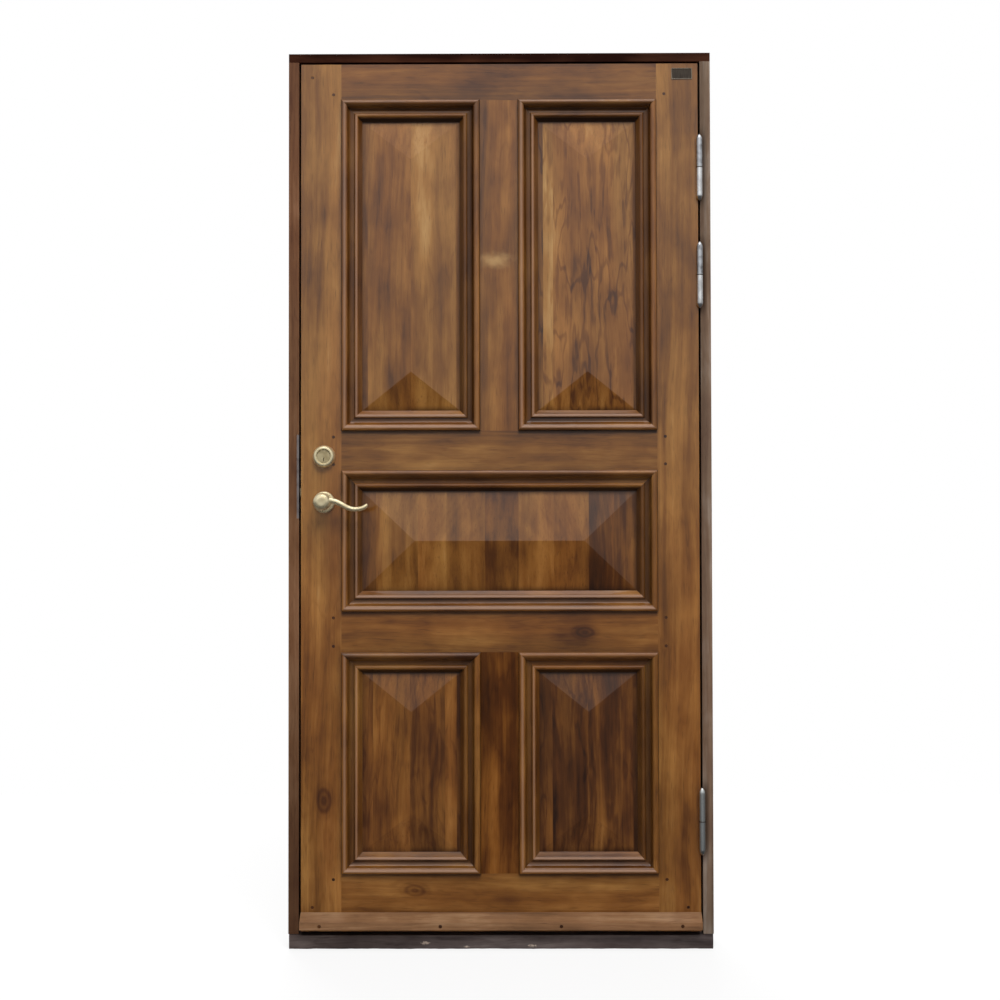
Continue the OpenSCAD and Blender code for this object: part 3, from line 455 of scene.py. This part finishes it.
# Each board: its run, tone, drift, seed, pith and knots.
BOARDS = {
    "lock_stile": ("Z", 0.58, 0.08, 11.0, (-0.36, 0.11, 0.03), [(-0.41, 0.345, 0.02)]),
    "hinge_stile": ("Z", 0.48, 0.0, 12.0, (0.47, 0.10, 0.02), []),
    "top_rail": ("X", 0.41, 0.0, 13.0, (2.06, 0.12, 0.03), []),
    "lock_rail": ("X", 0.51, 0.0, 14.0, (1.13, 0.10, 0.05), []),
    "middle_rail": ("X", 0.50, 0.0, 15.0, (0.74, 0.09, -0.04), [(0.197, 0.732, 0.014)]),
    "bottom_rail": ("X", 0.51, 0.0, 16.0, (0.12, 0.11, 0.05), [(-0.199, 0.136, 0.016)]),
    "upper_muntin": ("Z", 0.40, 0.18, 17.0, (0.02, 0.08, 0.02), []),
    "lower_muntin": ("Z", 0.34, 0.0, 18.0, (-0.03, 0.09, 0.03), []),
}
BLEACHED_SPOT = [(-0.010, 1.599, 0.036, (0.38, 0.22, 0.08, 1.0), 0.5)]
PANELS_ABOVE = {
    "lock_rail": ("upper_left", "upper_right"),
    "middle_rail": ("middle",),
    "bottom_rail": ("lower_left", "lower_right"),
}
# Where and how dark the painted shadow lies under the strips above each rail.
SHADOW_EDGE, SHADOW_ENDS, SHADOW_DARK = (-0.009, -0.002), (-0.004, 0.002), 0.7


def shadow_under_strips(x, z, across, along):
    """A shadow painted on a rail, under the strips of the panels above it."""
    stain = 0.0
    for panel in PANELS_ABOVE[board]:
        low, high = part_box("outer_moulding_" + panel)
        under = (z - low.z).between(*SHADOW_EDGE)
        beyond = (x - (low.x + high.x) / 2).math("ABSOLUTE") - (high.x - low.x) / 2
        stain = under * beyond.before(*SHADOW_ENDS) * SHADOW_DARK + stain
    return across, along, stain, None


for board, (run, tone, drift, seed, pith, knots) in BOARDS.items():
    board_teak = wood(board + " teak", run, tone, seed, TEAK, pith=pith, drift=drift, knots=knots,
                      pale=BLEACHED_SPOT if board == "upper_muntin" else (),
                      varnish=WORN if board == "lower_muntin" else VARNISHED,
                      stains_and_shade=shadow_under_strips if board in PANELS_ABOVE else None)
    dressed(board, board_teak)

# Panels.
# Five hipped fields glued up from upright staves of different trees, so the tone jumps from
# stave to stave. They float in grooves, and shade is painted dark along their edges.
SUNNED = (0.4, 0.6, 0.2)

# Each panel: its seed, vein and drift, and its staves, each a left edge and a tone.
PANELS = {
    "upper_left": (21.0, 0.04, 0.15, [
        (-0.5, 0.38), (-0.312, 0.46), (-0.209, 0.51), (-0.104, 0.41)]),
    "upper_right": (22.0, 0.18, 0.0, [
        (-0.5, 0.46), (0.099, 0.68), (0.124, 0.54), (0.31, 0.47)]),
    # The middle panel's last staves, from 0.205 on, are darker for their own tone and as painted
    # shade on its right end.
    "middle": (23.0, 0.04, 0.0, [
        (-0.5, 0.38), (-0.292, 0.58), (-0.194, 0.61), (-0.126, 0.48), (-0.037, 0.46),
        (0.042, 0.58), (0.124, 0.47), (0.205, 0.26), (0.262, 0.35), (0.315, 0.24)]),
    "lower_left": (24.0, 0.07, 0.0, [
        (-0.5, 0.36), (-0.297, 0.45), (-0.211, 0.38), (-0.129, 0.51), (-0.104, 0.36)]),
    "lower_right": (25.0, 0.09, -0.2, [
        (-0.5, 0.20), (0.121, 0.17), (0.2, 0.24), (0.279, 0.19), (0.305, 0.12)]),
}
MITRE, MIDDLE = (-0.0001, 0.0001), (-0.001, 0.001)
# Where and how dark the painted shadow under the top strip and the painted shade at the edges are.
UNDER_STRIP, UNDER_SHADOW = (0.048, 0.056), 0.92
MARGIN, MARGIN_SHADE, MARGIN_RIGHT = (0.046, 0.062), 0.3, 0.35


def inset_from(opening, x, z):
    """How far a point lies inside an opening's nearest side, and whether that side is level."""
    low, high = opening
    beside = (x - (low.x + high.x) / 2).math("ABSOLUTE") - (high.x - low.x) / 2
    above = (z - (low.z + high.z) / 2).math("ABSOLUTE") - (high.z - low.z) / 2
    return beside.math("MAXIMUM", above) * -1.0, (above - beside).between(*MITRE)


def panel_edge_shade(x, z, across, along):
    """Painted shade at the panel's edge, darker on the right, and a painted shadow under the top
    strip.
    """
    inset = inset_from(opening, x, z)[0]
    under = (opening[1].z - z).before(*UNDER_STRIP)
    right = (x - (opening[0].x + opening[1].x) / 2).between(*MIDDLE)
    around = inset.before(*MARGIN) * (right * MARGIN_RIGHT + MARGIN_SHADE)
    return across, along, around.math("MAXIMUM", under * UNDER_SHADOW), None


for panel, (seed, vein, drift, staves) in PANELS.items():
    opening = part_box("outer_moulding_" + panel)
    panel_teak = wood(panel + " panel teak", "Z", staves, seed, TEAK, vein=vein, drift=drift,
                      varnish=SUNNED if panel.startswith("lower") else VARNISHED,
                      stains_and_shade=panel_edge_shade)
    dressed("panel_" + panel, panel_teak, arris=0.0005, steps=1,
            smooth=math.radians(3.0))

# Mouldings.
# Teak strips run on a spindle moulder with two beads and a cove, mitred and pinned over the
# panels' margins. Shade is painted dark in the coves, under the beads and in the joints, which
# are dark joints too, and highlights are painted pale on beads that face the light.

# How far inside the opening each part of a strip starts, or starts and ends.
JOINT, OUTER_BEAD = (0.0, 0.003), ((0.004, 0.008), (0.009, 0.013))
COVE, COVE_END = (0.012, 0.018), (0.029, 0.034)
INNER_BEAD, STRIP_FOOT = ((0.031, 0.034), (0.035, 0.039)), (0.037, 0.043)
TOP_SHIFT, BOTTOM_SHIFT = 0.008, 0.006

# How dark the painted shade is in each part, and how strong the beads' painted highlight is.
COVE_SHADE, COVE_RIGHT, BEAD_RIGHT = 0.5, 0.12, 0.4
JOINT_DARK, JOINT_TOP_LESS = 0.85, 0.55
FOOT_SHADE, FOOT_RIGHT, FOOT_BOTTOM, FOOT_TOP = 0.4, 0.22, 0.05, 0.85
LEFT_HIGHLIGHT, BOTTOM_HIGHLIGHT = 0.4, 0.85


def strip_shade_and_highlights(x, z, across, along):
    """Fibres that turn at the mitres, with painted shade in the cove, at the inner foot and in the
    dark joint, and painted highlights on the beads that face the light.
    """
    inset, level = inset_from(opening, x, z)
    middle = (opening[0] + opening[1]) / 2
    right = (x - middle.x).between(*MIDDLE)
    top = (z - middle.z).between(*MIDDLE)
    upright = 1.0 - level
    bottom = 1.0 - top
    higher = inset + top * level * TOP_SHIFT
    lower = higher - bottom * level * BOTTOM_SHIFT
    # Painted shade in the cove, moved under the beads on level strips and darker on right-hand
    # strips.
    cove = lower.between(*COVE) * higher.before(*COVE_END)
    cove = cove * (right * upright * COVE_RIGHT + COVE_SHADE)
    # Painted shade on the inner bead of right-hand strips.
    bead = inset.between(*COVE_END) * right * upright * BEAD_RIGHT
    # A dark joint at the outer edge with painted shadow in it, kept light on top strips where
    # light falls.
    joint = inset.before(*JOINT) * (JOINT_DARK - top * level * JOINT_TOP_LESS)
    # Painted shade at the strip's inner foot, under the inner bead.
    side_foot = right * FOOT_RIGHT + FOOT_SHADE
    level_foot = top * FOOT_TOP + FOOT_BOTTOM
    foot = inset.between(*STRIP_FOOT) * (side_foot + (level_foot - side_foot) * level)
    stain = cove.math("MAXIMUM", bead).math("MAXIMUM", joint.math("MAXIMUM", foot))
    # Painted highlights on the beads of left-hand and bottom strips, which face the light.
    outer, inner = (inset.between(*rise) * inset.before(*fall)
                    for rise, fall in (OUTER_BEAD, INNER_BEAD))
    to_the_light = (1.0 - right) * upright * LEFT_HIGHLIGHT + bottom * level * BOTTOM_HIGHLIGHT
    painted_highlight = (outer + inner) * to_the_light
    return x + (z - x) * level, z + (x - z) * level, stain, painted_highlight


for number, panel in enumerate(PANELS):
    for face in ("outer", "inner"):
        strips = face + "_moulding_" + panel
        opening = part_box(strips)
        strip_teak = wood(strips.replace("_", " "), "Z", tone=0.47, seed=31.0 + number,
                          stops=TEAK, stains_and_shade=strip_shade_and_highlights)
        dressed(strips, strip_teak, arris=0.0003, steps=1)

# Weather bar, plugs and pegs.
# The bar throws rain off the leaf's foot and has bleached a little. Wooden plugs pin it, and
# pegs of the same dark wood pin the tenons.
BLEACHED = [
    (0.0, (0.042, 0.019, 0.009)),
    (0.5, (0.210, 0.103, 0.047)),
    (1.0, (0.460, 0.290, 0.160)),
]
bar_teak = wood("weather bar teak", "X", tone=0.50, seed=41.0, stops=BLEACHED, varnish=WORN)
dressed("weather_bar", bar_teak, arris=0.0015)
peg_grain = wood("peg end grain", "Z", tone=0.16, seed=43.0, stops=TEAK)
for pegs in ("tenon_pegs", "weather_bar_plugs"):
    dressed(pegs, peg_grain, arris=0.0004, steps=1)

# Hinges and screws.
# Three lift-off hinges of zinc-plated steel with pointed tips, on bronze washers. The upper
# halves are speckled grey, and rain has dulled the bottom hinge and the screws.
SCRATCHES = ((1100.0, 1100.0, 140.0), 2.0, 2.0)
TARNISH, TARNISH_EDGE = ((70.0, 70.0, 70.0), 4.0, 5.0), (0.42, 0.72)
CRYSTAL_PITCH, CRYSTAL_TONE = 420.0, 0.12
SCRATCH_ROUGH, TARNISH_ROUGH = 0.12, 0.16


def metal(name, colour, rough, stain, dull=0.5, pure=1.0):
    """Metal with fine scratches, a faint crystal pattern and stains that gather in clouds."""
    finish, start = new_finish(name)
    spot = place_on(start)
    scratches = mottle(start, spot, SCRATCHES)
    tarnish = mottle(start, spot, TARNISH).between(*TARNISH_EDGE)
    point = start.node("TexCoord", output="Object")
    crystals = start.node("TexVoronoi", {"Vector": point, "Scale": CRYSTAL_PITCH}, "Color")
    crystal = start.node("RGBToBW", {"Color": crystals})
    tint = (tarnish * dull).blend((*colour, 1.0), (*stain, 1.0))
    tint = (crystal * CRYSTAL_TONE).blend(tint, (*stain, 1.0))
    normal = start.node("Bump", {"Strength": 0.12, "Distance": 0.0002, "Height": scratches})
    worn = scratches * SCRATCH_ROUGH + tarnish * TARNISH_ROUGH + rough
    surface(start, {"Metallic": pure, "Base Color": tint, "Normal": normal, "Roughness": worn})
    return finish


zinc = metal("zinc plated steel", (0.93, 0.94, 0.95), rough=0.22, stain=(0.60, 0.60, 0.60))
speckled_zinc = metal("speckled zinc", (0.66, 0.68, 0.71), rough=0.26, stain=(0.22, 0.22, 0.23),
                      dull=0.8)
dull_zinc = metal("dulled zinc", (0.70, 0.73, 0.73), rough=0.28, stain=(0.36, 0.37, 0.36))
bronze = metal("dark bronze", (0.10, 0.085, 0.07), rough=0.35, stain=(0.05, 0.04, 0.03))
METAL_ARRIS, SCREW_ARRIS = 0.0004, 0.0001
for place in HINGES:
    rained_on = place == "bottom"
    dressed("hinge_frame_half_" + place, dull_zinc if rained_on else zinc, METAL_ARRIS)
    dressed("hinge_leaf_half_" + place, dull_zinc if rained_on else speckled_zinc,
            METAL_ARRIS)
dressed("hinge_washers", bronze, arris=0.0003, steps=1)
for screws in ("frame_screws", "hinge_frame_screws", "hinge_leaf_screws"):
    dressed(screws, dull_zinc, SCREW_ARRIS, steps=1)


def refinish(node, finish):
    """A solid that keeps its own mesh and gets a new finish."""
    slots = frame["nodes"][node].data.materials
    slots.clear()
    slots.append(finish)


refinish("hinge_pins", zinc)

# Door seal.
# A black rubber strip, extruded in one length and pressed into the frame's stop. The shut
# leaf squeezes it, and dust has settled on it.
BLACK, DUSTY, DUST_EDGE = (0.012, 0.012, 0.012, 1.0), (0.05, 0.048, 0.045, 1.0), (0.4, 0.8)
RUBBER_ROUGH, DUST_ROUGH = 0.5, 0.3
rubber, start = new_finish("seal rubber")
point = start.node("TexCoord", output="Object")
dust = start.node("TexNoise", {"Vector": point, "Scale": 160.0, "Detail": 3.0})
surface(start, {"Base Color": dust.between(*DUST_EDGE).blend(BLACK, DUSTY),
                "Roughness": dust * DUST_ROUGH + RUBBER_ROUGH})
refinish("door_seal", rubber)

# Mortise lock and strike plate.
# The steel case sits in the lock stile behind its screwed forend, with a brass latch bolt. The
# strike plate's lip folds round the jamb's edge and shows as a line beside the leaf.
rubbed_steel = metal("rubbed steel", (0.34, 0.30, 0.29), rough=0.36, stain=(0.20, 0.16, 0.15))
brass = metal("lacquered brass", (0.92, 0.81, 0.53), rough=0.22, stain=(0.62, 0.48, 0.26),
              pure=0.82)
dressed("strike_plate", rubbed_steel, METAL_ARRIS)
for plate in ("lock_forend", "dead_bolt"):
    dressed(plate, zinc, METAL_ARRIS)
dressed("latch_bolt", brass, METAL_ARRIS)
for screws in ("forend_screws", "strike_screws"):
    dressed(screws, zinc, SCREW_ARRIS, steps=1)
for inner_part in ("lock_case", "follower", "spindle"):
    refinish(inner_part, zinc)

# Lever handles.
# Cast brass levers, each with a rounded boss and a slender waved arm that curls up at its
# end, on turned roses. The casting is filed smooth, so no facet is left.
for handle in ("outside_lever", "inside_lever"):
    lever = copy_of(handle)
    shape(lever, "REMESH", mode="VOXEL", voxel_size=0.0008)
    shape(lever, "SMOOTH", factor=0.5, iterations=6)
    shape(lever, "DISPLACE", strength=0.0012, mid_level=0.0)
    bpy.ops.object.shade_smooth()
    stand_for(lever, handle, brass)
for rose in ("outside_rose", "inside_rose", "turn_rose"):
    dressed(rose, brass, METAL_ARRIS)

# Cylinder and thumb turn.
# The cylinder sits in a domed brass ring outside, with its key plug below the middle; both
# are a darker brass, painted shade for their recess. The brass thumb turn on the inside throws
# the dead bolt.
shaded_brass = metal("shaded brass", (0.62, 0.52, 0.31), rough=0.3, stain=(0.36, 0.27, 0.13),
                        dull=0.6, pure=0.75)
for turned in ("cylinder_ring", "thumb_turn"):
    dressed(turned, brass, METAL_ARRIS)
# The cylinder and key plug get the darker brass as painted shade in the ring's recess.
for recessed in ("lock_cylinder", "key_plug"):
    dressed(recessed, shaded_brass, METAL_ARRIS)

# Plaque.
# A small bare plate of dark bronze at the top corner of the hinge stile, with a raised rim
# worn bright. It is glued on.
PLATE_W, PLATE_H, PLATE_T = 0.048, 0.026, 0.0016
PLATE_X, PLATE_Z, FRONT_FACING = 0.4267, 2.036, -0.9
RIM_W, RIM_H, RIM_START = 0.0014, 0.0006, 0.0001
DARK_BRONZE, WORN_BRONZE = (0.030, 0.022, 0.016, 1.0), (0.085, 0.068, 0.050, 1.0)
BRIGHT_RIM = (0.45, 0.38, 0.28, 1.0)
RUB, RUB_EDGE = ((900.0, 60.0, 900.0), 3.0, 3.0), (0.35, 0.8)
PLATE_ROUGH, RUB_ROUGH = 0.3, 0.3
face_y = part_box("hinge_stile")[0].y
front_y = face_y - PLATE_T
bpy.ops.object.select_all(action="DESELECT")
bpy.ops.mesh.primitive_cube_add(size=1.0, scale=(PLATE_W, PLATE_T, PLATE_H),
                                location=(PLATE_X, face_y - PLATE_T / 2, PLATE_Z))
plaque = bpy.context.object
plaque.name = "plaque"
bpy.ops.object.transform_apply(location=True, rotation=True, scale=True)
bpy.ops.object.mode_set(mode="EDIT")
bpy.ops.mesh.select_mode(type="FACE")
bpy.ops.mesh.select_all(action="DESELECT")
bpy.ops.object.mode_set(mode="OBJECT")
for side in plaque.data.polygons:
    side.select = side.normal.y < FRONT_FACING
bpy.ops.object.mode_set(mode="EDIT")
bpy.ops.mesh.inset(thickness=RIM_W, depth=0.0)
bpy.ops.mesh.inset(thickness=RIM_H, depth=-RIM_H)
bpy.ops.object.mode_set(mode="OBJECT")
shape(plaque, "BEVEL", width=0.0003, segments=2, limit_method="ANGLE",
      angle_limit=math.radians(30.0))
plaque_bronze, start = new_finish("plaque bronze")
x, depth, z = place_on(start)
rub = mottle(start, (x, z, depth), RUB)
rim = depth.before(front_y - RIM_START, front_y + RIM_H / 2)
tint = rub.between(*RUB_EDGE).blend(DARK_BRONZE, WORN_BRONZE)
tint = (rim * rub).blend(tint, BRIGHT_RIM)
surface(start, {"Metallic": 0.6, "Base Color": tint, "Roughness": rub * RUB_ROUGH + PLATE_ROUGH})
plaque.data.materials.append(plaque_bronze)
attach(plaque, "leaf")

# Studio.
# A pale floor, a white surround and three soft lamps, above, in front and behind, as under a
# bright sky. The varnish mirrors a surround that is dim at the horizon and white above it.
WHITE = (1.0, 1.0, 1.0, 1.0)
FLOOR_GREY, FLOOR_GLOW = (0.86, 0.86, 0.86, 1.0), 0.8
bpy.ops.object.select_all(action="DESELECT")
bpy.ops.mesh.primitive_plane_add(size=4.0, location=(0.0, 0.0, 0.0))
floor = bpy.context.object
floor.name = "studio_floor"
pale_floor, start = new_finish("pale floor")
rays = start.node("LightPath")
matt = start.node("BsdfDiffuse", {"Color": FLOOR_GREY})
glow = start.node("Emission", {"Color": WHITE, "Strength": 1.0})
lit = start.node("MixShader", {0: rays.pick("Is Camera Ray") * FLOOR_GLOW, 1: matt, 2: glow})
start.node("OutputMaterial", {"Surface": lit})
floor.data.materials.append(pale_floor)
floor.visible_glossy = False

# The surround's grey by height, from straight down to straight up, and how dim its sides are.
SKY = [(0.0, 0.04), (0.39, 0.05), (0.44, 0.14), (0.49, 0.36), (0.545, 0.73), (0.62, 1.0)]
SIDE_GREY, SIDE_EDGE, SIDE_DIM = (0.05, 0.05, 0.05, 1.0), (0.3, 0.9), 0.5
FILL_LIGHT = 0.4
world = bpy.data.worlds.new("studio")
bpy.context.scene.world = world
world.use_nodes = True
world.node_tree.nodes.clear()
start = Shade(world.node_tree)
rays = start.node("LightPath")
way = start.node("SeparateXYZ", {"Vector": start.node("TexCoord", output="Generated")})
sky = (way.pick("Z") * 0.5 + 0.5).ramp([(height, (grey,) * 3) for height, grey in SKY])
aside = way.pick("X").math("ABSOLUTE").between(*SIDE_EDGE)
sky = (aside * SIDE_DIM).blend(sky, SIDE_GREY)
seen = rays.pick("Is Camera Ray")
mirrored = rays.pick("Is Glossy Ray").math("MAXIMUM", rays.pick("Is Transmission Ray"))
strength = seen.math("MAXIMUM", mirrored) * (1.0 - FILL_LIGHT) + FILL_LIGHT
surround = start.node("Background", {"Color": seen.blend(sky, WHITE), "Strength": strength})
start.node("OutputWorld", {"Surface": surround})
LEAF_MIDDLE = (0.0, 0.0, 1.0)


def softbox(name, place, size, power, mirrored=False):
    """A rectangular lamp turned to the leaf's middle, which the varnish mirrors or not."""
    lamp = bpy.data.lights.new(name, "AREA")
    lamp.shape = "RECTANGLE"
    lamp.size, lamp.size_y = size
    lamp.energy = power
    stand = bpy.data.objects.new(name, lamp)
    stand.location = place
    towards = stand.location.copy()
    towards.x, towards.y, towards.z = (a - b for a, b in zip(LEAF_MIDDLE, place))
    stand.rotation_euler = towards.to_track_quat("-Z", "Y").to_euler()
    stand.visible_camera = False
    stand.visible_glossy = mirrored
    bpy.context.scene.collection.objects.link(stand)


softbox("front_sky", place=(1.0, -4.6, 6.0), size=(4.4, 3.0), power=400.0)
softbox("top_sky", place=(0.3, -1.7, 5.4), size=(4.0, 1.2), power=45.0, mirrored=True)
softbox("back_sky", place=(-0.8, 4.6, 6.0), size=(4.4, 3.0), power=380.0)

# Camera.
# It stands where the photograph was taken from: in front of the leaf's middle, a little under
# half of the door's height, looking slightly up.
TILT, ROLL, TURN = 91.131, 0.114, 0.301
view = bpy.data.cameras.new("viewpoint")
view.sensor_width = 36.0
view.lens = 54.92
viewpoint = bpy.data.objects.new("viewpoint", view)
viewpoint.location = (0.0184, -3.6025, 0.9694)
viewpoint.rotation_euler = [math.radians(angle) for angle in (TILT, ROLL, TURN)]
bpy.context.scene.collection.objects.link(viewpoint)
bpy.context.scene.camera = viewpoint
bpy.context.scene.view_settings.view_transform = "Standard"
